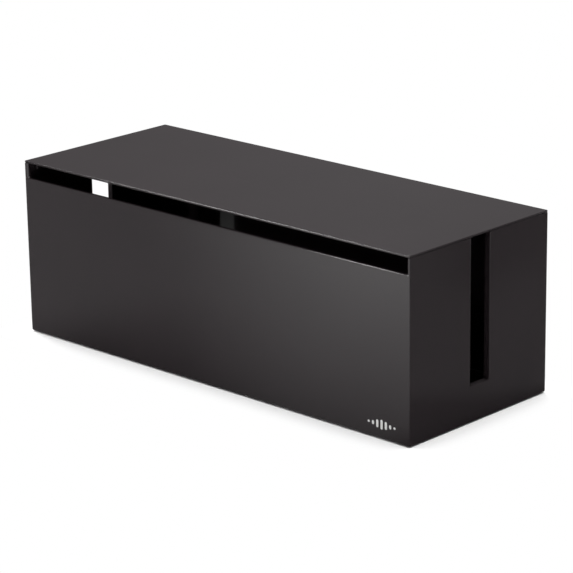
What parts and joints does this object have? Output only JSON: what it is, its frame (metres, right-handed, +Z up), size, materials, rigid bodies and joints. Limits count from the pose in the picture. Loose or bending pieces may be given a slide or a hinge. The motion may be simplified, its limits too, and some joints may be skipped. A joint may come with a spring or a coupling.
{
  "type": "cable management box",
  "caption": "Long black plastic box that hides a power strip and its cords, with a lift-off lid, a full-width cord slot under the lid at the front and an upright cord slot in each end.",
  "frame": {"origin": "middle of the footprint, on the surface that the feet stand on", "axes": "+X along the box to its right end, front panel with the low top edge faces -Y, +Z up through the lid"},
  "size_m": [0.405, 0.156, 0.143],
  "materials": {
    "body_plastic": "gloss black moulded ABS",
    "lid_plastic": "fine satin black moulded ABS",
    "foot_rubber": "matt dark rubber"
  },
  "bodies": {
    "tub": {"box_body": "body_plastic", "foot_front_left": "foot_rubber", "foot_front_right": "foot_rubber", "foot_rear_left": "foot_rubber", "foot_rear_right": "foot_rubber"},
    "cover": {"lid": "lid_plastic"}
  },
  "joints": [
    {"name": "lid_lift", "type": "slide", "parent": "tub", "child": "cover", "axis": [0, 0, 1], "range_m": [0, 0.08]}
  ]
}
